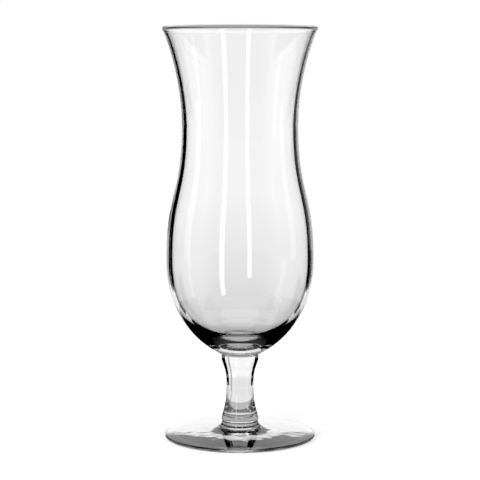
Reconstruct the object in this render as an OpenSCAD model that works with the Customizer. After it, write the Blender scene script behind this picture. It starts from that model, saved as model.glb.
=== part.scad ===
// Hurricane glass: a tall waisted bowl on a short stem and a round foot.
// Three pieces of clear soda-lime glass are fused end to end, each turned about the upright axis.
// The glass stands on z = 0 with its axis on Z. Heights run up from the table: foot, stem, bowl.

/* [Foot] */
// Diameter of the round foot
foot_d = 76.1; // [66:0.1:90]
// Thickness of the foot at its rounded edge
foot_edge_t = 1.7; // [1.2:0.1:2.4]
// Height of the foot up to its joint with the stem
foot_h = 8.45; // [7:0.05:11]
// Diameter of the fused joint between the stem and the foot
foot_joint_d = 17.9; // [14:0.1:19]
// Diameter at which the fillet round the boss runs out into the top of the foot
foot_fillet_d = 34; // [30:0.5:44]
// Height of the foot's top where the fillet runs out
foot_fillet_h = 3.3; // [2.8:0.1:4]
// Width of the flat ring that the glass rests on
foot_ring_w = 5; // [3:0.1:8]
// Depth of the shallow hollow under the foot
foot_hollow_h = 0.9; // [0.4:0.1:1.4]

/* [Stem] */
// Length of the stem between its two fused joints
stem_l = 33.65; // [26:0.05:60]
// Diameter of the stem at its slimmest place
neck_d = 13.6; // [11:0.1:15.5]
// Height of the slimmest place above the foot joint
neck_up = 17.1; // [13:0.1:19]
// Diameter of the lip at the top of the stem
stem_lip_d = 18.8; // [17:0.1:22]
// Height of the upright band on that lip
stem_lip_h = 2.3; // [1.5:0.1:3.5]
// Diameter of the swelling just above the foot joint
stem_heel_d = 18.5; // [17.8:0.1:19.5]
// Height of that swelling above the foot joint
stem_heel_up = 1.3; // [0.9:0.1:2.2]
// Radius of the soft edges beside the fused joints
joint_round_r = 0.15; // [0.1:0.05:0.3]

/* [Bowl] */
// Height of the bowl above its joint with the stem
bowl_h = 165.1; // [150:0.1:185]
// Outer diameter of the mouth, over its bead
rim_d = 77.6; // [70:0.1:88]
// Outer diameter of the waist
waist_d = 58.18; // [50:0.02:64]
// Height of the waist above the bottom of the bowl
waist_up = 115.8; // [105:0.1:125]
// Outer diameter of the belly
belly_d = 74.26; // [68:0.02:84]
// Height of the belly above the bottom of the bowl
belly_up = 47.9; // [42:0.05:56]
// Angle at which the underside of the bowl leaves the stem
base_angle = 27.1; // [20:0.1:34]
// Angle between the wall at the mouth and the upright
flare_angle = 21.1; // [12:0.1:30]
// Thickness of the wall just below the bead of the mouth
mouth_t = 1.8; // [1.4:0.1:1.9]
// Thickness of the wall at the waist
waist_t = 2.5; // [1.8:0.1:3]
// Thickness of the wall at the belly
belly_t = 3; // [2.2:0.1:3.8]
// Thickness of the fire-polished bead round the mouth
bead_t = 2.2; // [2:0.1:3]
// Length over which the wall swells into that bead
bead_l = 1.8; // [1:0.1:3]
// Thickness of the glass under the middle of the drink
floor_t = 8; // [6:0.1:12]

/* [Hidden] */
glass_tint = "lightcyan";

// Steps along each curve and along each small round edge
steps = 14;
round_steps = 6;
bead_steps = 2;
turn_facets = 96;

// Lengths of the curves' handles, as shares of the heights or widths that they span
fillet_drop_share = 0.75;
fillet_reach_share = 0.62;
neck_to_lip_shares = [0.5, 0.42];
neck_to_heel_shares = [0.42, 0.4];
base_reach_share = 0.564;
belly_drop_share = 0.537;
belly_rise_share = 0.499;
waist_drop_share = 0.489;
waist_rise_share = 0.114;
flare_share = 0.499;
floor_reach_share = 0.82;
floor_drop_share = 0.42;
bead_share = 0.5;

// Slopes of the stem where it meets its lip and its heel, as widening over height
lip_slope_share = 0.33;
heel_slope_share = 0.27;

// Heights of the two joints and of the rim above the table
stem_z = foot_h;
bowl_z = stem_z + stem_l;
rim_z = bowl_z + bowl_h;

// Radius of the face on which the bowl is fused to the stem
bowl_joint_r = stem_lip_d / 2 - joint_round_r;

// One point of a cubic curve from a to d with handle points b and c, and its direction there
function curve_at(a, b, c, d, t) =
    a * pow(1 - t, 3) + b * 3 * t * pow(1 - t, 2) + c * 3 * t * t * (1 - t) + d * pow(t, 3);
function heading_at(a, b, c, d, t) =
    (b - a) * pow(1 - t, 2) + (c - b) * 2 * t * (1 - t) + (d - c) * t * t;

// The points of that curve after its first one
function curve(a, b, c, d, n = steps) = [for (i = [1:n]) curve_at(a, b, c, d, i / n)];

// The same points moved to the left of the way the curve runs, by a gap that changes evenly along it
function beside(a, b, c, d, first_gap, last_gap, n = steps) = [
    for (i = [1:n])
        let (h = heading_at(a, b, c, d, i / n), gap = first_gap + (last_gap - first_gap) * i / n)
        curve_at(a, b, c, d, i / n) + gap * [-h.y, h.x] / norm(h)
];

// Points of an arc round a centre, with or without its first one
function arc(centre, r, from, to, n = round_steps, skip = 0) = [
    for (i = [skip:n])
        let (angle = from + (to - from) * i / n)
        centre + r * [cos(angle), sin(angle)]
];

function backwards(points) = [for (i = [len(points) - 1:-1:0]) points[i]];

// Turns an outline of radius and height into a round solid
module turned(outline) {
    color(glass_tint) rotate_extrude($fn = turn_facets) polygon(outline);
}

// The pressed foot: a thin disc with a low cone on top, a filleted boss and a hollow underside.
module foot() {
    edge_r = foot_edge_t / 2;
    edge_centre = [foot_d / 2 - edge_r, edge_r];
    ring_r = edge_centre.x - foot_ring_w;
    boss = [foot_joint_d / 2 + joint_round_r, foot_h - joint_round_r];
    runout = [foot_fillet_d / 2, foot_fillet_h];
    top_slope = (runout.y - foot_edge_t) / (edge_centre.x - runout.x);
    reach = (runout.x - boss.x) * fillet_reach_share;
    turned(concat(
        [[0, foot_hollow_h]],
        curve([0, foot_hollow_h], [ring_r / 2, foot_hollow_h], [ring_r / 2, 0], [ring_r, 0]),
        arc(edge_centre, edge_r, -90, 90),
        [runout],
        curve(runout, runout + reach * [-1, top_slope],
              boss - [0, (boss.y - runout.y) * fillet_drop_share], boss),
        arc([foot_joint_d / 2, boss.y], joint_round_r, 0, 90),
        [[0, foot_h]]
    ));
}

// The solid stem: a drawn neck between a flared heel and an upright lip under the bowl.
module stem() {
    heel = [stem_heel_d / 2, stem_z + stem_heel_up];
    neck = [neck_d / 2, stem_z + neck_up];
    lip = [stem_lip_d / 2, bowl_z - stem_lip_h];
    below = neck.y - heel.y;
    above = lip.y - neck.y;
    foot_joint = [foot_joint_d / 2, stem_z];
    swell = (heel.y - foot_joint.y) / 2;
    turned(concat(
        [[0, stem_z], foot_joint],
        curve(foot_joint, foot_joint + [heel.x - foot_joint.x, 0],
              heel + swell * [heel_slope_share, -1], heel, round_steps),
        curve(heel, heel + below * neck_to_heel_shares[0] * [-heel_slope_share, 1],
              neck - [0, below * neck_to_heel_shares[1]], neck),
        curve(neck, neck + [0, above * neck_to_lip_shares[0]],
              lip - above * neck_to_lip_shares[1] * [lip_slope_share, 1], lip),
        arc([bowl_joint_r, bowl_z - joint_round_r], joint_round_r, 0, 90),
        [[0, bowl_z]]
    ));
}

// The blown bowl: belly, waist and flared mouth in one wall, thicker further down, over a deep floor.
module bowl() {
    joint = [bowl_joint_r, bowl_z];
    belly = [belly_d / 2, bowl_z + belly_up];
    waist = [waist_d / 2, bowl_z + waist_up];

    // The rounded bead: its centre, the way the wall runs there, and the end of the wall below it
    bead_r = bead_t / 2;
    bead_centre = [rim_d / 2 - bead_r, rim_z - bead_r];
    along = [sin(flare_angle), cos(flare_angle)];
    outward = [cos(flare_angle), -sin(flare_angle)];
    lip_out = bead_centre - along * bead_l + outward * mouth_t / 2;
    lip_in = lip_out - outward * mouth_t;
    step = along * bead_l * bead_share;

    // Handles of the outer wall
    joint_on = joint + (belly.x - joint.x) * base_reach_share * [cos(base_angle), sin(base_angle)];
    belly_under = belly - [0, belly_up * belly_drop_share];
    belly_over = belly + [0, (waist_up - belly_up) * belly_rise_share];
    waist_under = waist - [0, (waist_up - belly_up) * waist_drop_share];
    waist_over = waist + [0, (lip_out.y - waist.y) * waist_rise_share];
    lip_under = lip_out - (lip_out.y - waist.y) * flare_share * along;

    // The inside of the floor, from the middle of the glass to the belly
    pit = [0, bowl_z + floor_t];
    belly_in = belly - [belly_t, 0];
    pit_on = pit + [belly_in.x * floor_reach_share, 0];
    belly_in_under = belly_in - [0, (belly_in.y - pit.y) * floor_drop_share];

    turned(concat(
        [[0, bowl_z], joint],
        curve(joint, joint_on, belly_under, belly),
        curve(belly, belly_over, waist_under, waist),
        curve(waist, waist_over, lip_under, lip_out),
        curve(lip_out, lip_out + step, bead_centre + outward * bead_r - step,
              bead_centre + outward * bead_r, round_steps),
        arc(bead_centre, bead_r, -flare_angle, 0, bead_steps, 1),
        arc(bead_centre, bead_r, 0, 90, round_steps, 1),
        arc(bead_centre, bead_r, 90, 180 - flare_angle, round_steps, 1),
        curve(bead_centre - outward * bead_r, bead_centre - outward * bead_r - step,
              lip_in + step, lip_in, round_steps),
        backwards(beside(waist, waist_over, lip_under, lip_out, waist_t, mouth_t)),
        backwards(beside(belly, belly_over, waist_under, waist, belly_t, waist_t)),
        [belly_in],
        backwards(curve(pit, pit_on, belly_in_under, belly_in)),
        [pit]
    ));
}

foot();
stem();
bowl();
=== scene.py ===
# %% [markdown]
# # Hurricane glass
#
# A hurricane glass is a tall cocktail glass: a flared mouth, a slim waist and a rounded belly on a short
# solid stem and a thin round foot. It is clear soda-lime glass all through, and it is made of three
# pieces of hot glass that are fused end to end. This lesson turns each piece on the upright axis, gives
# it clear glass, and lights it the way clear glass is lit: the shape of a clear thing shows in what it
# bends and mirrors, so most of the work is in true wall thicknesses and in what stands round the glass.
#
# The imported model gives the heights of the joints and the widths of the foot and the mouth. Everything
# is in metres, with the foot on z = 0 and the axis on Z.

# %% Load the frame
from math import cos, degrees, e, log, pi, radians, sin

import bmesh
import bpy
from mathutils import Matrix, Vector
from mathutils.geometry import interpolate_bezier


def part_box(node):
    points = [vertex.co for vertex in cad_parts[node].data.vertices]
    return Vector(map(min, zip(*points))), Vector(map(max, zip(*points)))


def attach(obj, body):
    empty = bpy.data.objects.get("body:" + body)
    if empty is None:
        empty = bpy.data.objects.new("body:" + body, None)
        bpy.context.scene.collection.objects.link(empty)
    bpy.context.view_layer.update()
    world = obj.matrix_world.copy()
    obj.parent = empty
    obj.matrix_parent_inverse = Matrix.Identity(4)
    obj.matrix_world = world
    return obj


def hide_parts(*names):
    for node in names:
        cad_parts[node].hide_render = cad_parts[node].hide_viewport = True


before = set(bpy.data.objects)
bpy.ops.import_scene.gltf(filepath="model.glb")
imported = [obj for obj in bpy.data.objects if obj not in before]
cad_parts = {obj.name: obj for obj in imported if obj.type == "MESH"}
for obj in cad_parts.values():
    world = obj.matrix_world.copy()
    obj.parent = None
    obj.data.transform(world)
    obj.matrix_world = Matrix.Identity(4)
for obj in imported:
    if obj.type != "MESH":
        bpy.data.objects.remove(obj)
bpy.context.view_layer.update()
mm = 0.001

foot_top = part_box("foot")[1]
stem_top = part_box("stem")[1]
bowl_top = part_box("bowl")[1]
print("nodes:", sorted(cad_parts))
print(f"joints at {foot_top.z / mm:.2f} and {stem_top.z / mm:.2f} mm, rim at {bowl_top.z / mm:.2f} mm")

# %% [markdown]
# ## Curves for an outline
#
# A blown shape has no straight line in it. Its half outline is a chain of cubic curves, each with two
# handles that say which way it leaves one end and reaches the other, just like the handles of a curve in
# the editor. The inner line of the wall isn't drawn again: it is the outer one moved sideways by the
# wall's thickness.

# %% Curve helpers
curve_steps = 24
arc_steps = 12
round_steps = 6


def point(radius, height):
    """A point of a half outline, in the plane y = 0."""
    return Vector((radius, 0, height))


def curve(start, leave, reach, end, steps=curve_steps):
    """Points along a cubic curve, both ends included."""
    return interpolate_bezier(start, leave, reach, end, steps + 1)


def arc(centre, radius, first, last, steps=arc_steps):
    """Points of a circle round a centre, from one angle to another in degrees."""
    turns = [radians(first + (last - first) * i / steps) for i in range(steps + 1)]
    return [centre + radius * point(cos(a), sin(a)) for a in turns]


def inner_line(points, walls):
    """The same line moved towards the axis by the thickness of the wall at each point."""
    moved = []
    for i, here in enumerate(points):
        run = points[min(i + 1, len(points) - 1)] - points[max(i - 1, 0)]
        moved.append(here + walls[i] * point(-run.z, run.x).normalized())
    return moved


# %% [markdown]
# ## Turning an outline into glass
#
# Spinning the half outline about the axis is what a glassmaker does with the blowpipe, and it gives even
# rings of faces that bend light without ripples. A low number of steps would show as facets, because
# each face of clear glass is a small prism, so the spin is fine. The flat faces of the fused joints
# inside the glass are given a second material: on the real object the glass runs on through them.

# %% Spin helper
turn_steps = 240
crease_angle = radians(35)
merge_gap = 0.0001 * mm
joint_gap = 0.001 * mm
flat_enough = 0.999
cm3 = 1e-6


def turned(name, outline, fused_heights):
    """A closed round solid. Its flat faces at the fused heights use material 1, and the rest material 0."""
    bm = bmesh.new()
    verts = [bm.verts.new(p) for p in outline]
    edges = [bm.edges.new(pair) for pair in zip(verts, verts[1:])]
    bmesh.ops.spin(bm, geom=verts + edges, cent=(0, 0, 0), axis=(0, 0, 1), angle=2 * pi,
                   steps=turn_steps, use_merge=True, use_duplicate=False)
    bmesh.ops.remove_doubles(bm, verts=bm.verts, dist=merge_gap)
    bmesh.ops.recalc_face_normals(bm, faces=bm.faces)
    for face in bm.faces:
        face.smooth = True
        height = face.calc_center_median().z
        at_joint = any(abs(height - joint) < joint_gap for joint in fused_heights)
        face.material_index = int(at_joint and abs(face.normal.z) > flat_enough)
    for edge in bm.edges:
        edge.smooth = edge.calc_face_angle(0) < crease_angle
    mesh = bpy.data.meshes.new(name)
    volume = bm.calc_volume()
    open_edges = sum(not edge.is_manifold for edge in bm.edges)
    bm.to_mesh(mesh)
    bm.free()
    piece = bpy.data.objects.new(name, mesh)
    bpy.context.scene.collection.objects.link(piece)
    print(f"{name}: {len(mesh.polygons)} faces, {volume / cm3:.2f} cm3, {open_edges} open edges")
    return piece


# %% [markdown]
# ## The foot
#
# The foot is pressed: a thin disc with a rounded edge, a low cone on top, and a small boss with a fillet
# that carries the stem. Underneath it is a little hollow, so that it stands on a flat ring and doesn't
# rock.

# %% Foot
foot_r = foot_top.x
foot_joint_r = 8.95 * mm
foot_edge_t = 1.7 * mm
foot_runout = point(17 * mm, 3.3 * mm)
foot_ring_w = 5 * mm
foot_hollow_h = 0.9 * mm
joint_round = 0.15 * mm

# Lengths of the fillet's handles, as shares of its width and height
fillet_reach_share = 0.62
fillet_drop_share = 0.75


def foot_outline():
    edge = foot_edge_t / 2
    edge_centre = point(foot_r - edge, edge)
    ring = edge_centre.x - foot_ring_w
    boss = point(foot_joint_r + joint_round, foot_top.z - joint_round)
    slope = (foot_runout.z - foot_edge_t) / (edge_centre.x - foot_runout.x)
    reach = fillet_reach_share * (foot_runout.x - boss.x)
    drop = fillet_drop_share * (boss.z - foot_runout.z)
    return (
        curve(point(0, foot_hollow_h), point(ring / 2, foot_hollow_h), point(ring / 2, 0), point(ring, 0))
        + arc(edge_centre, edge, -90, 90)
        + curve(foot_runout, foot_runout + reach * point(-1, slope), boss - point(0, drop), boss)
        + arc(point(foot_joint_r, boss.z), joint_round, 0, 90, round_steps)
        + [point(0, foot_top.z)]
    )


foot = turned("foot_glass", foot_outline(), [foot_top.z])

# %% [markdown]
# ## The stem
#
# The stem is solid glass, drawn slim in the middle while it was hot. Its heel swells above the fused
# ring on the foot, and its top ends in a short upright lip that the bowl sits on.

# %% Stem
stem_lip_r = 9.4 * mm
stem_lip_h = 2.3 * mm
neck = point(6.8 * mm, foot_top.z + 17.1 * mm)
heel = point(9.25 * mm, foot_top.z + 1.3 * mm)
heel_steps = 12
bowl_joint_r = stem_lip_r - joint_round

# Slopes of the stem at its heel and its lip, as widening over height, and the lengths of the handles
# between them and the neck, as shares of the heights that they span
heel_slope, lip_slope = 0.27, 0.33
heel_rise_share, neck_drop_share = 0.42, 0.4
neck_rise_share, lip_drop_share = 0.5, 0.42


def stem_outline():
    base = point(foot_joint_r, foot_top.z)
    lip = point(stem_lip_r, stem_top.z - stem_lip_h)
    below, above = neck.z - heel.z, lip.z - neck.z
    swell = (heel.z - base.z) / 2
    return (
        [point(0, base.z)]
        + curve(base, point(heel.x, base.z), heel + swell * point(heel_slope, -1), heel, heel_steps)
        + curve(heel, heel + heel_rise_share * below * point(-heel_slope, 1),
                neck - point(0, neck_drop_share * below), neck)[1:]
        + curve(neck, neck + point(0, neck_rise_share * above),
                lip - lip_drop_share * above * point(lip_slope, 1), lip)[1:]
        + arc(point(bowl_joint_r, stem_top.z - joint_round), joint_round, 0, 90, round_steps)
        + [point(0, stem_top.z)]
    )


stem = turned("stem_glass", stem_outline(), [foot_top.z, stem_top.z])

# %% [markdown]
# ## The bowl
#
# The bowl is blown: one wall from the belly through the waist to the mouth, thinner where the glass was
# drawn out more, and a thick floor that was the last of the gather. The mouth was melted round by a
# flame, which leaves a small bead a little thicker than the wall. The wall's real thickness matters,
# because it sets where the dark line along each side of the glass lies and how wide it is.

# %% Bowl
mouth_wall = 1.8 * mm
waist_wall = 2.5 * mm
belly_wall = 3 * mm
bead_t = 2.2 * mm
bead_l = 1.8 * mm
floor_t = 8 * mm
belly = point(37.13 * mm, stem_top.z + 47.9 * mm)
waist = point(29.09 * mm, stem_top.z + 115.8 * mm)
base_angle = radians(27.1)
flare_angle = radians(21.1)

# Lengths of the handles, as shares of the heights or widths that they span
base_reach_share, belly_drop_share = 0.564, 0.537
belly_rise_share, waist_drop_share = 0.499, 0.489
waist_rise_share, flare_share = 0.114, 0.499
pit_reach_share, pit_rise_share = 0.82, 0.42
bead_share = 0.5

# Steps along each stretch of the outline
under_steps, shoulder_steps, flare_steps = 40, 36, 30
swell_steps, bead_steps, pit_steps = 8, 16, 48


def taper(first, last, points):
    """Thicknesses that run evenly from the first to the last over a number of points."""
    return [first + (last - first) * i / (points - 1) for i in range(points)]


def bowl_outline():
    joint = point(bowl_joint_r, stem_top.z)
    bead_r = bead_t / 2
    bead = point(bowl_top.x - bead_r, bowl_top.z - bead_r)
    along = point(sin(flare_angle), cos(flare_angle))
    outward = point(cos(flare_angle), -sin(flare_angle))
    lip = bead - bead_l * along + mouth_wall / 2 * outward
    bead_out, bead_in = bead + bead_r * outward, bead - bead_r * outward
    swell = bead_share * bead_l * along
    flare_degrees = degrees(flare_angle)
    low, mid, high = belly.z - joint.z, waist.z - belly.z, lip.z - waist.z
    leave = base_reach_share * (belly.x - joint.x) * point(cos(base_angle), sin(base_angle))
    under = curve(joint, joint + leave, belly - point(0, belly_drop_share * low), belly, under_steps)
    shoulder = curve(belly, belly + point(0, belly_rise_share * mid),
                     waist - point(0, waist_drop_share * mid), waist, shoulder_steps)
    flare = curve(waist, waist + point(0, waist_rise_share * high),
                  lip - flare_share * high * along, lip, flare_steps)
    outer = shoulder + flare[1:]
    shoulder_walls = taper(belly_wall, waist_wall, len(shoulder))
    flare_walls = taper(waist_wall, mouth_wall, len(flare))
    inner = inner_line(outer, shoulder_walls + flare_walls[1:])
    turn = inner[0]
    pit = point(0, joint.z + floor_t)
    turn_on = turn - point(0, pit_rise_share * (turn.z - pit.z))
    pit_on = pit + point(pit_reach_share * turn.x, 0)
    return (
        [point(0, joint.z)]
        + under
        + outer[1:]
        + curve(lip, lip + swell, bead_out - swell, bead_out, swell_steps)[1:]
        + arc(bead, bead_r, -flare_degrees, 180 - flare_degrees, bead_steps)[1:]
        + curve(bead_in, bead_in - swell, inner[-1] + swell, inner[-1], swell_steps)[1:]
        + inner[-2::-1]
        + curve(turn, turn_on, pit_on, pit, pit_steps)[1:]
    )


bowl = turned("bowl_glass", bowl_outline(), [stem_top.z])

# %% [markdown]
# ## One function for colours and one for nodes
#
# Colours are given as sRGB hex values, and the renderer works in linear light, so one function turns one
# into the other. A second small function adds a node, sets what is passed to it and links its inputs.

# %% Material helpers
def linear(hex_colour):
    """An sRGB hex colour as linear red, green, blue and alpha, by the formula of the sRGB standard."""
    parts = [int(hex_colour[i:i + 2], 16) / 255 for i in (1, 3, 5)]
    return [c / 12.92 if c <= 0.04045 else ((c + 0.055) / 1.055) ** 2.4 for c in parts] + [1]


def add(tree, kind, links=None, values=None, **settings):
    """A node of a kind, with its settings, the values of its inputs, and the sockets linked to them."""
    node = tree.nodes.new(kind)
    for key, value in settings.items():
        setattr(node, key, value)
    for key, value in (values or {}).items():
        node.inputs[key].default_value = value
    for key, socket in (links or {}).items():
        tree.links.new(socket, node.inputs[key])
    return node


def new_material(name):
    """An empty node material and its tree."""
    material = bpy.data.materials.new(name)
    material.use_nodes = True
    material.node_tree.nodes.clear()
    return material, material.node_tree


black_shade, white_shade = "#000000", "#FFFFFF"
print("mid grey in linear light:", round(linear("#808080")[0], 3))

# %% [markdown]
# ## Clear soda-lime glass, blown and pressed
#
# Tableware glass bends light by about 1.52 and is as smooth as a liquid, because a flame melts its skin.
# It is never quite even: the blown wall keeps long, shallow waves from the hot glass, which make the
# bright streaks wander a little. They are waves of 30 mm and a few hundredths of a millimetre high,
# drawn as bump. The pressed foot was chilled by its mould, and its waves are shorter and higher.

# %% Glass
glass_ior = 1.52
blown_wave, blown_height = 30 * mm, 0.04 * mm
pressed_wave, pressed_height = 9 * mm, 0.14 * mm
wave_detail, wave_roughness = 1.0, 0.4


def soda_lime_glass(name, wave_length, wave_height):
    material, tree = new_material(name)
    place = add(tree, "ShaderNodeTexCoord")
    waves = add(tree, "ShaderNodeTexNoise", {"Vector": place.outputs["Object"]},
                {"Scale": 1 / wave_length, "Detail": wave_detail, "Roughness": wave_roughness})
    bump = add(tree, "ShaderNodeBump", {"Height": waves.outputs["Fac"]},
               {"Strength": 1.0, "Distance": wave_height})
    glass = add(tree, "ShaderNodeBsdfPrincipled", {"Normal": bump.outputs["Normal"]},
                {"Base Color": linear(white_shade), "Roughness": 0.0, "IOR": glass_ior,
                 "Transmission Weight": 1.0})
    add(tree, "ShaderNodeOutputMaterial", {"Surface": glass.outputs["BSDF"]})
    return material


def fused_joint():
    """Glass runs on through a fused joint, so its two faces let everything pass unbent."""
    material, tree = new_material("fused_joint_inside_glass")
    clear = add(tree, "ShaderNodeBsdfTransparent")
    add(tree, "ShaderNodeOutputMaterial", {"Surface": clear.outputs["BSDF"]})
    return material


blown_glass = soda_lime_glass("clear_soda_lime_glass_blown", blown_wave, blown_height)
pressed_glass = soda_lime_glass("clear_soda_lime_glass_pressed", pressed_wave, pressed_height)
joint_material = fused_joint()
for piece, node, glass in (
    (foot, "foot", pressed_glass),
    (stem, "stem", blown_glass),
    (bowl, "bowl", blown_glass),
):
    piece.data.materials.append(glass)
    piece.data.materials.append(joint_material)
    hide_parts(node)
    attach(piece, "root")
    print(f"{piece.name} replaces {node} and is {glass.name}")

# %% [markdown]
# ## The white room
#
# Clear glass is lit from behind: a white ground that fills the camera's view, and dark things just
# outside it. The wall bends the view outwards at its edges, past the white ground and on to the dark,
# which draws the black line along each side. The world is the white ground. It is plain white to the
# camera and to light that the glass bends or mirrors, and a little dimmer as the light that falls on the
# table.

# %% World
room_light = 0.85


def world_light():
    world = bpy.data.worlds.new("white_room")
    bpy.context.scene.world = world
    world.use_nodes = True
    tree = world.node_tree
    tree.nodes.clear()
    path = add(tree, "ShaderNodeLightPath").outputs
    seen = add(tree, "ShaderNodeMath", {0: path["Is Camera Ray"], 1: path["Is Glossy Ray"]},
               operation="ADD")
    seen = add(tree, "ShaderNodeMath", {0: seen.outputs[0], 1: path["Is Transmission Ray"]},
               operation="ADD", use_clamp=True)
    strength = add(tree, "ShaderNodeMapRange", {"Value": seen.outputs[0]},
                   {"To Min": room_light, "To Max": 1.0})
    back = add(tree, "ShaderNodeBackground", {"Strength": strength.outputs[0]},
               {"Color": linear(white_shade)})
    add(tree, "ShaderNodeOutputWorld", {"Surface": back.outputs[0]})
    print(f"{world.name} lights the table at {room_light}")


world_light()

# %% [markdown]
# ## What the table reads
#
# To the camera the table is white, and it takes the soft shadow of the glass. Light that reaches it through
# the glass finds painted light and shade instead: greys and darks that stand in for the shadow the glass
# casts on the table, and a lighter patch under the foot. The studio of the photograph isn't known, so these
# tones were worked out from the greys in the glass, one part of the glass after another.
#
# The depths of a ray say how it came to the table. Passing through solid glass adds 2 to its
# transmission depth, and so does each wall of the bowl, so light that came through both walls has 4. A
# fused joint counts in its transparent depth, and each mirroring adds 1 to its glossy depth. Depths are
# whole numbers, so a test compares with a value half a step off.

# %% Readings for the table
solid_depth, both_walls_depth = 2, 4
half_step = 0.5
under_foot_r = foot_r + 0.45 * mm


def readings(tree):
    """Where light meets the table and how it came there. Reach is the distance from the axis."""
    path = add(tree, "ShaderNodeLightPath").outputs
    place = add(tree, "ShaderNodeTexCoord").outputs["Object"]
    axes = add(tree, "ShaderNodeSeparateXYZ", {0: place}).outputs
    reach = add(tree, "ShaderNodeVectorMath", {0: place}, operation="LENGTH").outputs["Value"]
    side = add(tree, "ShaderNodeMath", {0: axes["X"]}, operation="ABSOLUTE")
    hollow = add(tree, "ShaderNodeMath", {0: path["Transmission Depth"]}, {1: solid_depth + half_step},
                 operation="GREATER_THAN")
    solid = add(tree, "ShaderNodeMath", {1: hollow.outputs[0]}, {0: 1.0}, operation="SUBTRACT")
    below_foot = add(tree, "ShaderNodeMath", {0: reach}, {1: under_foot_r}, operation="LESS_THAN")
    return {"path": path, "reach": reach, "back": axes["Y"], "side": side.outputs[0],
            "hollow": hollow.outputs[0], "solid": solid.outputs[0], "below_foot": below_foot.outputs[0]}


print(f"the foot's own shade ends {under_foot_r / mm:.2f} mm from the axis")

# %% [markdown]
# ## Painted shade on the open table
#
# Far out the table is white, and a painted shade grows grey towards the foot, over the logarithm of the
# distance: first quickly and then slowly. Light through the hollow bowl finds a painted shadow darker still
# close to the foot. Light straight through solid glass finds it a little lighter, and white under the foot,
# which is painted light.

# %% Open table
# Tones of the painted shade on the open table, from 0 for black to 1 for white, and where they change
near_tone, near_reach, open_reach = 0.72, 108 * mm, 1080 * mm
open_power = 2.0
close_tone, close_start, close_end = 0.35, 40 * mm, 95 * mm
# Painted light: a lift towards white under the foot, for light straight through solid glass
solid_lift, lift_start, lift_end = 0.1, 36 * mm, 39 * mm


def painted_shade_of_table(tree, at):
    far_out = add(tree, "ShaderNodeMath", {0: at["reach"]}, {1: e}, operation="LOGARITHM")
    far_out = add(tree, "ShaderNodeMapRange", {"Value": far_out.outputs[0]},
                  {"From Min": log(near_reach), "From Max": log(open_reach)})
    far_out = add(tree, "ShaderNodeMath", {0: far_out.outputs[0]}, {1: open_power}, operation="POWER")
    tone = add(tree, "ShaderNodeMath", {0: far_out.outputs[0]}, {1: 1 - near_tone, 2: near_tone},
               operation="MULTIPLY_ADD")
    close = add(tree, "ShaderNodeMapRange", {"Value": at["reach"]},
                {"From Min": close_start, "From Max": close_end, "To Min": close_tone})
    shaded = add(tree, "ShaderNodeMath", {0: tone.outputs[0], 1: close.outputs[0]}, operation="MULTIPLY")
    tone = add(tree, "ShaderNodeMix", {0: at["hollow"], 2: tone.outputs[0], 3: shaded.outputs[0]})
    lift = add(tree, "ShaderNodeMapRange", {"Value": at["reach"]},
               {"From Min": lift_start, "From Max": lift_end,
                "To Min": 1 - near_tone, "To Max": solid_lift})
    lifted = add(tree, "ShaderNodeMath", {0: at["solid"], 1: lift.outputs[0], 2: tone.outputs[0]},
                 operation="MULTIPLY_ADD", use_clamp=True)
    return lifted.outputs[0]


print(f"the table is white from {open_reach:.2f} m out and {near_tone} at {near_reach / mm:.0f} mm")

# %% [markdown]
# ## Painted shadows under the foot
#
# Where the foot touches the table there is no air to mirror the light, so its flat ring shows a painted
# contact shadow: dark in front, but for its middle. Light that came down the stem finds a painted shadow
# under the foot, grey, and dark to both sides and in one ring, which draws the shaded heel of the stem.
# Light that came through the bowl as well finds a painted shadow almost black, and light that was mirrored
# inside the glass finds a painted shade that deepens towards the edge of the foot. Each function lays its
# painted shadow over the one before.

# %% Under the foot
# Tones of the painted shadows under the foot, from 0 for black to 1 for white, and where they change
ring_front_tone, ring_front, ring_back = 0.02, -8 * mm, 4 * mm
ring_middle_tone, ring_middle, ring_side = 0.5, 5 * mm, 13 * mm
ring_start, ring_full = 29 * mm, 35 * mm

stem_slant = 0.9
stem_middle_tone, stem_side_tone = 0.45, 0.01
stem_middle, stem_side = -16.5 * mm, -9.5 * mm
heel_ring_tone, heel_ring_r = 0.1, 22.2 * mm
heel_ring_core, heel_ring_end = 2.6 * mm, 4.2 * mm

bowl_tone = 0.04
inner_tone, inner_start = 0.4, 22 * mm
inner_edge_tone, inner_end = 0.04, 37 * mm


# Painted contact shadow on the flat ring that the foot stands on
def foot_ring(tree, at, glow):
    behind = add(tree, "ShaderNodeMapRange", {"Value": at["back"]},
                 {"From Min": ring_front, "From Max": ring_back, "To Min": ring_front_tone},
                 interpolation_type="SMOOTHSTEP")
    middle = add(tree, "ShaderNodeMapRange", {"Value": at["side"]},
                 {"From Min": ring_middle, "From Max": ring_side,
                  "To Min": ring_middle_tone, "To Max": 0.0},
                 interpolation_type="SMOOTHSTEP")
    tone = add(tree, "ShaderNodeMath", {0: behind.outputs[0], 1: middle.outputs[0]}, operation="MAXIMUM")
    ring = add(tree, "ShaderNodeMapRange", {"Value": at["reach"]},
               {"From Min": ring_start, "From Max": ring_full}, interpolation_type="SMOOTHSTEP")
    ring = add(tree, "ShaderNodeMath", {0: ring.outputs[0], 1: at["solid"]}, operation="MULTIPLY")
    ring = add(tree, "ShaderNodeMath", {0: ring.outputs[0], 1: at["below_foot"]}, operation="MULTIPLY")
    return add(tree, "ShaderNodeMix", {0: ring.outputs[0], 2: glow, 3: tone.outputs[0]}).outputs[0]


# Painted shadow of the stem's heel, for light that came down the stem
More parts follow.
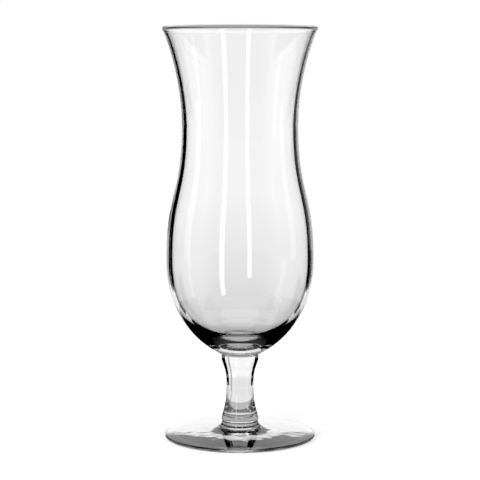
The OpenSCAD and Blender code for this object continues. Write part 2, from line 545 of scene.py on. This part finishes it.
def painted_stem_shadow(tree, at, glow):
    aside = add(tree, "ShaderNodeMath", {0: at["reach"], 2: at["side"]}, {1: -stem_slant},
                operation="MULTIPLY_ADD")
    tone = add(tree, "ShaderNodeMapRange", {"Value": aside.outputs[0]},
               {"From Min": stem_middle, "From Max": stem_side,
                "To Min": stem_middle_tone, "To Max": stem_side_tone},
               interpolation_type="SMOOTHSTEP")
    ring = add(tree, "ShaderNodeMath", {0: at["reach"]}, {1: heel_ring_r}, operation="SUBTRACT")
    ring = add(tree, "ShaderNodeMath", {0: ring.outputs[0]}, operation="ABSOLUTE")
    ring = add(tree, "ShaderNodeMapRange", {"Value": ring.outputs[0]},
               {"From Min": heel_ring_core, "From Max": heel_ring_end, "To Min": heel_ring_tone},
               interpolation_type="SMOOTHSTEP")
    tone = add(tree, "ShaderNodeMath", {0: tone.outputs[0], 1: ring.outputs[0]}, operation="MULTIPLY")
    through = add(tree, "ShaderNodeMath", {0: at["path"]["Transparent Depth"], 1: at["hollow"]},
                  operation="ADD", use_clamp=True)
    share = add(tree, "ShaderNodeMath", {0: through.outputs[0], 1: at["below_foot"]},
                operation="MULTIPLY")
    return add(tree, "ShaderNodeMix", {0: share.outputs[0], 2: glow, 3: tone.outputs[0]}).outputs[0]


# Painted shadow, almost black, for light that came through the bowl as well
def painted_bowl_shadow(tree, at, glow):
    deepest = add(tree, "ShaderNodeMath", {0: at["path"]["Transmission Depth"]},
                  {1: both_walls_depth + half_step}, operation="GREATER_THAN")
    share = add(tree, "ShaderNodeMath", {0: deepest.outputs[0], 1: at["below_foot"]},
                operation="MULTIPLY")
    return add(tree, "ShaderNodeMix", {0: share.outputs[0], 2: glow}, {3: bowl_tone}).outputs[0]


# Painted shade under the foot, deeper towards its edge, for light mirrored inside the glass
def painted_edge_shadow(tree, at, glow):
    tone = add(tree, "ShaderNodeMapRange", {"Value": at["reach"]},
               {"From Min": inner_start, "From Max": inner_end,
                "To Min": inner_tone, "To Max": inner_edge_tone})
    share = add(tree, "ShaderNodeMath", {0: at["path"]["Glossy Depth"], 1: at["below_foot"]},
                operation="MULTIPLY", use_clamp=True)
    return add(tree, "ShaderNodeMix", {0: share.outputs[0], 2: glow, 3: tone.outputs[0]}).outputs[0]


painted_shadows_under_foot = (foot_ring, painted_stem_shadow, painted_bowl_shadow, painted_edge_shadow)
print("tones laid over the open table:", [tone.__name__ for tone in painted_shadows_under_foot])

# %% [markdown]
# ## The table
#
# The table top is one large matt white sheet, as a product photographer uses, far wider than the view.
# Only light that the glass bends finds the painted light and shade made above. The camera sees the sheet
# itself, a little lifted so that it runs into the white room without an edge. Mirror images on the outside
# of the glass leave it out, and the cloths of the next cells stand in for it there.

# %% Table top
floor_size = 12
floor_lift = 0.25
table_shade, table_roughness = "#F4F4F4", 0.9


def table_material():
    material, tree = new_material("white_table_top")
    at = readings(tree)
    glow = painted_shade_of_table(tree, at)
    for lay_tone in painted_shadows_under_foot:
        glow = lay_tone(tree, at, glow)
    # Light that the glass bends finds the painted light and shade, not the lit sheet
    bent = add(tree, "ShaderNodeEmission", {"Strength": glow}, {"Color": linear(white_shade)})
    lift = add(tree, "ShaderNodeMath", {0: at["path"]["Is Camera Ray"]}, {1: floor_lift},
               operation="MULTIPLY")
    sheet = add(tree, "ShaderNodeBsdfPrincipled", {"Emission Strength": lift.outputs[0]},
                {"Base Color": linear(table_shade), "Roughness": table_roughness,
                 "Emission Color": linear(white_shade), "Specular IOR Level": 0.0})
    mix = add(tree, "ShaderNodeMixShader",
              {0: at["path"]["Is Transmission Ray"], 1: sheet.outputs[0], 2: bent.outputs[0]})
    add(tree, "ShaderNodeOutputMaterial", {"Surface": mix.outputs[0]})
    return material


def table():
    bm = bmesh.new()
    bmesh.ops.create_grid(bm, x_segments=1, y_segments=1, size=floor_size / 2)
    mesh = bpy.data.meshes.new("table_top")
    bm.to_mesh(mesh)
    bm.free()
    mesh.materials.append(table_material())
    top = bpy.data.objects.new("table_top", mesh)
    bpy.context.scene.collection.objects.link(top)
    top.visible_glossy = False
    print(f"{top.name}: {floor_size} m wide")


table()

# %% [markdown]
# ## Cloths that only some light meets
#
# Beside the white ground the studio is dark, and that dark draws the black lines of the glass. Light
# that only bends through the bowl must still find white from every side, so most of these cloths are met
# only by light that was mirrored, on the glass or inside it: the edge lines and the thick base are drawn
# by exactly that light. A few are met by light that went straight through solid glass: they line the
# stem and the rim. Each cloth reads the ray's depths to know which light it meets, and the camera and
# the lamps' light never meet any.

# %% Cloth material
any_depth = 99
mirrored_light = [("Glossy Depth", 1, any_depth)]
mirrored_twice = [("Glossy Depth", 2, any_depth)]
outer_light = [("Transmission Depth", 0, 0)]
solid_light = [("Transmission Depth", solid_depth, solid_depth)]
front_wall_light = [("Transmission Depth", 0, solid_depth)]
back_wall_light = [("Transmission Depth", solid_depth + 1, any_depth)]


def cloth(name, shade, tests, strength=1.0, fade=None):
    """A cloth for some light only: what passes every test finds the shade, and all other light passes on.
    A test is a depth to read, the least that counts and the most that counts. A fade is a function that
    gives a socket for the strength."""
    material, tree = new_material(name)
    path = add(tree, "ShaderNodeLightPath").outputs
    passed = None
    for depth, least, most in tests:
        over = add(tree, "ShaderNodeMath", {0: path[depth]}, {1: least - half_step},
                   operation="GREATER_THAN")
        below = add(tree, "ShaderNodeMath", {0: path[depth]}, {1: most + half_step},
                    operation="LESS_THAN")
        both = add(tree, "ShaderNodeMath", {0: over.outputs[0], 1: below.outputs[0]},
                   operation="MULTIPLY")
        if passed:
            both = add(tree, "ShaderNodeMath", {0: passed.outputs[0], 1: both.outputs[0]},
                       operation="MULTIPLY")
        passed = both
    clear = add(tree, "ShaderNodeBsdfTransparent")
    faded = {"Strength": fade(tree)} if fade else {}
    tone = add(tree, "ShaderNodeEmission", faded, {"Color": linear(shade), "Strength": strength})
    mix = add(tree, "ShaderNodeMixShader",
              {0: passed.outputs[0], 1: clear.outputs[0], 2: tone.outputs[0]})
    add(tree, "ShaderNodeOutputMaterial", {"Surface": mix.outputs[0]})
    return material


black = cloth("black_cloth", black_shade, mirrored_light)
outer_black = cloth("black_cloth_for_outer_mirror", black_shade, mirrored_light + outer_light)
inner_black = cloth("black_cloth_for_inner_mirror", black_shade, mirrored_light + solid_light)
echo_black = cloth("black_cloth_for_second_mirror", black_shade, mirrored_twice + solid_light)
wall_black = cloth("black_cloth_for_front_wall", black_shade, mirrored_light + front_wall_light)
print("black cloths:", [m.name for m in (black, outer_black, inner_black, echo_black, wall_black)])

# %% [markdown]
# ## Hanging a cloth
#
# A flag of stiff black card beside a glass is usually flat, but an arc round the glass reaches every
# azimuth at one distance. So most cloths are made by spinning one edge about the axis: an upright edge
# gives a standing arc, and an edge that points away from the glass gives a flat one on the table.
# Azimuth 0 is straight behind the glass, 90 is on its right and 180 is the camera's side.

# %% Cloth helpers
cloth_height = 1 * mm
over_cloth_height = 1.2 * mm
flag_steps, fine_steps = 24, 48
hung = []


def hang(name, mesh, material, mirrored):
    """The cloth, hung in the scene, which the camera and the lamps' light never meet."""
    card = bpy.data.objects.new(name, mesh)
    bpy.context.scene.collection.objects.link(card)
    mesh.materials.append(material)
    card.visible_camera = False
    card.visible_diffuse = False
    card.visible_shadow = False
    card.visible_glossy = mirrored
    hung.append(name)


def swept(name, start, end, azimuths, material, steps=flag_steps, mirrored=True):
    """An edge from start to end, each a distance from the axis and a height, swept between two azimuths."""
    first, last = azimuths
    bm = bmesh.new()
    pair = [bm.verts.new((sin(radians(first)) * r, cos(radians(first)) * r, z)) for r, z in (start, end)]
    edge = bm.edges.new(pair)
    bmesh.ops.spin(bm, geom=pair + [edge], cent=(0, 0, 0), axis=(0, 0, 1), angle=-radians(last - first),
                   steps=steps, use_merge=False, use_duplicate=False)
    mesh = bpy.data.meshes.new(name)
    bm.to_mesh(mesh)
    bm.free()
    hang(name, mesh, material, mirrored)


def standing(name, distance, heights, azimuths, material, **options):
    """An upright arc at one distance from the axis, between two heights."""
    low, high = heights
    swept(name, (distance, low), (distance, high), azimuths, material, **options)


def lying(name, distances, azimuths, material, height=cloth_height, **options):
    """A flat arc just above the table, between two distances from the axis."""
    inner, outer = distances
    swept(name, (inner, height), (outer, height), azimuths, material, **options)


def floor_cloth(name, corners, material):
    """A flat cloth just above the table with the given corners."""
    bm = bmesh.new()
    bm.faces.new([bm.verts.new((x, y, cloth_height)) for x, y in corners])
    mesh = bpy.data.meshes.new(name)
    bm.to_mesh(mesh)
    bm.free()
    hang(name, mesh, material, True)


def each_side(azimuths):
    """The number of each side of the glass, -1 for left and 1 for right, with the azimuths on that side."""
    return [(side, [side * azimuth for azimuth in azimuths]) for side in (-1, 1)]


# %% [markdown]
# ## Flags round the glass
#
# The white ground ends 21 degrees to each side, and a dark flag far out goes on from there. The other
# flags stand closer and are met only by light that was mirrored inside the glass, once or, for the high
# one, twice. They draw the dark line along each side, the lobes at the thick base and the dark parts of
# the foot.

# %% Standing flags
far, ground_end = 0.7, 2.5
ceiling = 0.48
ground_edge, wing_start, wing_end, ahead = 21, 50, 92, 180
ground_flag_heights = (-0.4, 0.5)
side_flag_r, side_flag_h, side_flag_end = 0.13, 0.075, 150
foot_flag_heights, foot_flag_start = (0.05, 0.27), 30

for side, azimuths in each_side((ground_edge, wing_start)):
    standing(f"far_flag_{side}", ground_end, ground_flag_heights, azimuths, black)
for side, azimuths in each_side((wing_start, side_flag_end)):
    standing(f"side_flag_{side}", side_flag_r, (0, side_flag_h), azimuths, inner_black, mirrored=False)
for side, azimuths in each_side((wing_start, wing_end)):
    standing(f"high_flag_{side}", far, (0, ceiling), azimuths, echo_black, mirrored=False)
for side, azimuths in each_side((wing_end, ahead)):
    standing(f"front_flag_{side}", far, (0, ceiling), azimuths, inner_black, mirrored=False)
for side, azimuths in each_side((foot_flag_start, wing_start)):
    standing(f"foot_flag_{side}", far, foot_flag_heights, azimuths, inner_black, mirrored=False)
print("flags round the glass:", len(hung))

# %% [markdown]
# ## Dark cloths beside the foot
#
# The belly and the thick base mirror what lies low, so the dark goes on over the table: close to the
# foot for all mirrored light, and beyond that only for light that was mirrored inside the glass, or only
# for light that was mirrored on its outside. A header high up on each side does the same for the solid
# stem.

# %% Cloths on the table
near = 60 * mm
near_cloth_end, outer_cloth_end, base_cloth_end = 90 * mm, 160 * mm, 170 * mm
cloth_start, wide_start, base_end, cloth_end = 15, 55, 75, 110
stem_header_low, stem_header_start, stem_header_end = 0.36, 14, 60

for side, azimuths in each_side((wide_start, ahead)):
    lying(f"wide_cloth_{side}", (near_cloth_end, far), azimuths, inner_black, mirrored=False)
for side, azimuths in each_side((stem_header_start, stem_header_end)):
    standing(f"stem_header_{side}", far, (stem_header_low, ceiling), azimuths, inner_black)
for side, azimuths in each_side((cloth_start, base_end)):
    lying(f"base_cloth_{side}", (near, base_cloth_end), azimuths, outer_black, height=over_cloth_height)
for side, azimuths in each_side((cloth_start, cloth_end)):
    lying(f"near_cloth_{side}", (near, near_cloth_end), azimuths, black)
for side, azimuths in each_side((wide_start, cloth_end)):
    lying(f"outer_cloth_{side}", (near_cloth_end, outer_cloth_end), azimuths, black)
print("with the cloths on the table:", len(hung))

# %% [markdown]
# ## Dark sides of the stem
#
# The stem is a solid rod, which turns the view round like a lens: its sides show what stands far out to
# the left and right. A black flag and a black cloth on each side are met only by light that went through
# solid glass, so they draw the stem's dark sides and leave the hollow bowl white.

# %% Flags for the stem
stem_black = cloth("black_cloth_for_solid_glass", black_shade, solid_light)
stem_flag_h, stem_cloth_start = 0.4, 0.12
stem_flag_azimuths = (42, 80)

for side, azimuths in each_side(stem_flag_azimuths):
    standing(f"stem_flag_{side}", far, (0, stem_flag_h), azimuths, stem_black, mirrored=False)
    lying(f"stem_cloth_{side}", (stem_cloth_start, far), azimuths, stem_black, mirrored=False)
print("with the stem's flags:", len(hung))

# %% [markdown]
# ## The edges of the white ground
#
# The white ground is a wedge behind the glass. Grey cards stand at its sides, and black cloth lies beside
# it, with its edge drawn where the dark lobes of the thick base need it. A black ring close round the foot
# is a painted shadow: it stands for the foot's contact shadow on the table, and only mirrored light meets
# it. One patch far out darkens the left side alone. The white ground itself carries a cloth that only light
# mirrored twice inside the wall meets, which keeps the edge lines dark and leaves the ground white.

# %% Beside the white ground
middle_grey = "#B4B4B4"
grey = cloth("grey_backdrop", middle_grey, mirrored_light)
grey_edge, grey_low = 25, 0.2
echo_start, echo_edge = 0.5, 24
foot_shadow_cloth_start = 38.3 * mm
full_turn = (-180, 180)
ground_side = [
    (0.175, 0.18), (0.178, 0.34), (0.45, 1.0),
    (0.9, ground_end), (3.0, ground_end), (0.28, 0.18),
]
left_patch = [(-0.36, 0.85), (-0.17, 0.95), (-0.2, 1.12), (-0.32, 1.3), (-0.75, 2.0)]

for side, azimuths in each_side((grey_edge, wing_start)):
    standing(f"grey_side_{side}", far, (grey_low, ceiling), azimuths, grey)
    floor_cloth(f"beside_ground_{side}", [(side * x, y) for x, y in ground_side], wall_black)
lying("echo_cloth", (echo_start, ground_end), (-echo_edge, echo_edge), echo_black, mirrored=False)
# Painted contact shadow: black on the table close round the foot, met only by mirrored light
lying("foot_shadow_cloth", (foot_shadow_cloth_start, near), full_turn, black, steps=fine_steps)
floor_cloth("left_stand", left_patch, black)
print("with the ground's edges:", len(hung))

# %% [markdown]
# ## Grey lines in the stem and the rim
#
# The stem has a grey line left of its middle, which is a narrow grey card behind the glass on the right,
# turned round by the solid rod. The rim's bead is a thin rod bent into a ring, and its even grey line is
# a narrow grey band that stands close round it. Both are met only by light through solid glass.

# %% Strips for solid glass
rim_shade = "#A0A0A0"
stem_grey = cloth("grey_cloth_for_solid_glass", middle_grey, solid_light)
rim_grey = cloth("grey_cloth_for_rim", rim_shade, solid_light)
strip_azimuths = (25, 31)
strip_start = 39 * mm
rim_band_r, rim_band_heights = 42.5 * mm, (203.5 * mm, 207.2 * mm)
rim_band_steps = 180

standing("stem_strip", far, (0, stem_flag_h), strip_azimuths, stem_grey, mirrored=False)
lying("stem_strip_low", (strip_start, far), strip_azimuths, stem_grey, mirrored=False)
standing("rim_shade", rim_band_r, rim_band_heights, full_turn, rim_grey, steps=rim_band_steps,
         mirrored=False)
print("with the strips for solid glass:", len(hung))

# %% [markdown]
# ## The headers and the dim room
#
# Above the white ground hangs a grey header and above that a black one. Behind the camera the room is
# dim: the front of the glass mirrors it, and that soft grey is what makes the wall visible over the
# white. It grows white to both sides and black below the table, and its floor is met only by light that
# the back wall mirrored.

# %% Headers and studio
header, top = 0.14, 1.5
studio_r, studio_heights, studio_tone = 1.6, (-2.5, 1.6), 0.37
studio_azimuths = (100, 260)
dim_within, white_beyond = radians(35), radians(75)
black_below, dim_above = -0.6, -0.1
floor_margin = 0.1


def room_fade(tree):
    """The brightness of the room behind the camera, by where the light meets it."""
    place = add(tree, "ShaderNodeTexCoord")
    axes = add(tree, "ShaderNodeSeparateXYZ", {0: place.outputs["Object"]}).outputs
    flat = add(tree, "ShaderNodeCombineXYZ", {0: axes["X"], 1: axes["Y"]})
    reach = add(tree, "ShaderNodeVectorMath", {0: flat.outputs[0]}, operation="LENGTH")
    facing = add(tree, "ShaderNodeMath", {0: axes["Y"], 1: reach.outputs["Value"]}, operation="DIVIDE")
    in_front = add(tree, "ShaderNodeMapRange", {"Value": facing.outputs[0]},
                   {"From Min": -cos(white_beyond), "From Max": -cos(dim_within)},
                   interpolation_type="SMOOTHSTEP")
    tone = add(tree, "ShaderNodeMapRange", {"Value": axes["Z"]},
               {"From Min": black_below, "From Max": dim_above, "To Min": 1.0, "To Max": 1 - studio_tone})
    darker = add(tree, "ShaderNodeMath", {0: in_front.outputs[0], 1: tone.outputs[0]},
                 operation="MULTIPLY")
    return add(tree, "ShaderNodeMath", {1: darker.outputs[0]}, {0: 1.0}, operation="SUBTRACT").outputs[0]


dim = cloth("dim_studio", white_shade, mirrored_light, fade=room_fade)
dim_floor = cloth("dim_studio_for_back_wall", white_shade, mirrored_light + back_wall_light,
                  fade=room_fade)
standing("grey_header", far, (header, ceiling), (-grey_edge, grey_edge), grey, mirrored=False)
standing("black_header", far, (ceiling, top), (-cloth_end, cloth_end), black)
lying("front_floor", (floor_margin, floor_size / 2 - floor_margin), studio_azimuths, dim_floor,
      steps=fine_steps, mirrored=False)
standing("front_studio", studio_r, studio_heights, studio_azimuths, dim, steps=fine_steps)
print("with the headers and the room:", len(hung))

# %% [markdown]
# ## Glowing cards and the streaks they leave
#
# The bright upright streaks on the glass are the mirror images of tall cards that glow: light panels that
# only mirrored light meets and that light nothing else. Two stand near the glass, one on each side of the
# camera, glow four times as bright as white, and are seen only in the front wall. A third, fainter, glows
# twice as bright as white, stands far out on the left and shows in the front wall and again in the back
# wall. It reaches below the table's height, because the belly mirrors what is low.

# %% Cards
# How brightly the cards glow, with white at 1: they are light panels, not lit cards
bright, faint = 4.0, 2.0
bright_card = cloth("bright_glowing_card", white_shade, mirrored_light + front_wall_light, strength=bright)
faint_card = cloth("faint_glowing_card", white_shade, mirrored_light, strength=faint)
card_r, card_top = 0.16, 0.24
left_card_low, left_card_azimuths = 3 * mm, (ahead + 22.5, ahead + 28.5)
right_card_low, right_card_azimuths = 55 * mm, (ahead - 16, ahead - 10.5)
side_card_r, side_card_heights = 1.0, (-0.5, 1.0)
side_card_azimuths = (ahead + 81, ahead + 87)

standing("left_card", card_r, (left_card_low, card_top), left_card_azimuths, bright_card)
standing("right_card", card_r, (right_card_low, card_top), right_card_azimuths, bright_card)
standing("side_card", side_card_r, side_card_heights, side_card_azimuths, faint_card)
print("with the cards:", len(hung))

# %% [markdown]
# ## Strip lamps
#
# Two long soft lamps left of the camera light the table and give the glass its soft shadow. They are
# left out of what the glass bends and mirrors, so that only the cards make streaks.

# %% Lamps
lamp_distance, lamp_low, lamp_high = 0.5, 0.05, 0.6
lamp_radiance = 4.0


def strip_lamp(name, azimuth, width):
    """An upright area lamp that faces the glass, at an azimuth in degrees to the left of the camera."""
    data = bpy.data.lights.new(name, "AREA")
    data.shape = "RECTANGLE"
    data.size = width
    data.size_y = lamp_high - lamp_low
    data.energy = lamp_radiance * pi * width * (lamp_high - lamp_low)
    lamp = bpy.data.objects.new(name, data)
    bpy.context.scene.collection.objects.link(lamp)
    a = radians(azimuth)
    place = Vector((-sin(a) * lamp_distance, -cos(a) * lamp_distance, (lamp_low + lamp_high) / 2))
    lamp.location = place
    lamp.rotation_euler = Vector((place.x, place.y, 0)).to_track_quat("Z", "Y").to_euler()
    lamp.visible_camera = False
    lamp.visible_glossy = False
    lamp.visible_transmission = False
    print(f"{name}: {data.energy:.2f} W")


strip_lamp("main_strip", azimuth=32, width=90 * mm)
strip_lamp("side_strip", azimuth=82, width=60 * mm)

# %% [markdown]
# ## The camera
#
# The photograph looks down a little: the mouth is almost edge on and the foot is an open ellipse. The
# camera stands where both ellipses come out right, with a long lens and no shift.

# %% Camera
focal_px = 1907
frame_px = 480
sensor_width_mm = 36
camera_back = 949.3 * mm
camera_up = 227.2 * mm
pitch_down = radians(7.615)
camera_data = bpy.data.cameras.new("camera")
camera_data.sensor_width = sensor_width_mm
camera_data.lens = sensor_width_mm * focal_px / frame_px
camera = bpy.data.objects.new("camera", camera_data)
camera.location = (0, -camera_back, camera_up)
camera.rotation_euler = (pi / 2 - pitch_down, 0, 0)
bpy.context.scene.collection.objects.link(camera)
bpy.context.scene.camera = camera
bpy.context.scene.view_settings.view_transform = "Standard"
print(f"lens {camera_data.lens:.1f} mm, {camera_back:.3f} m in front of the axis")
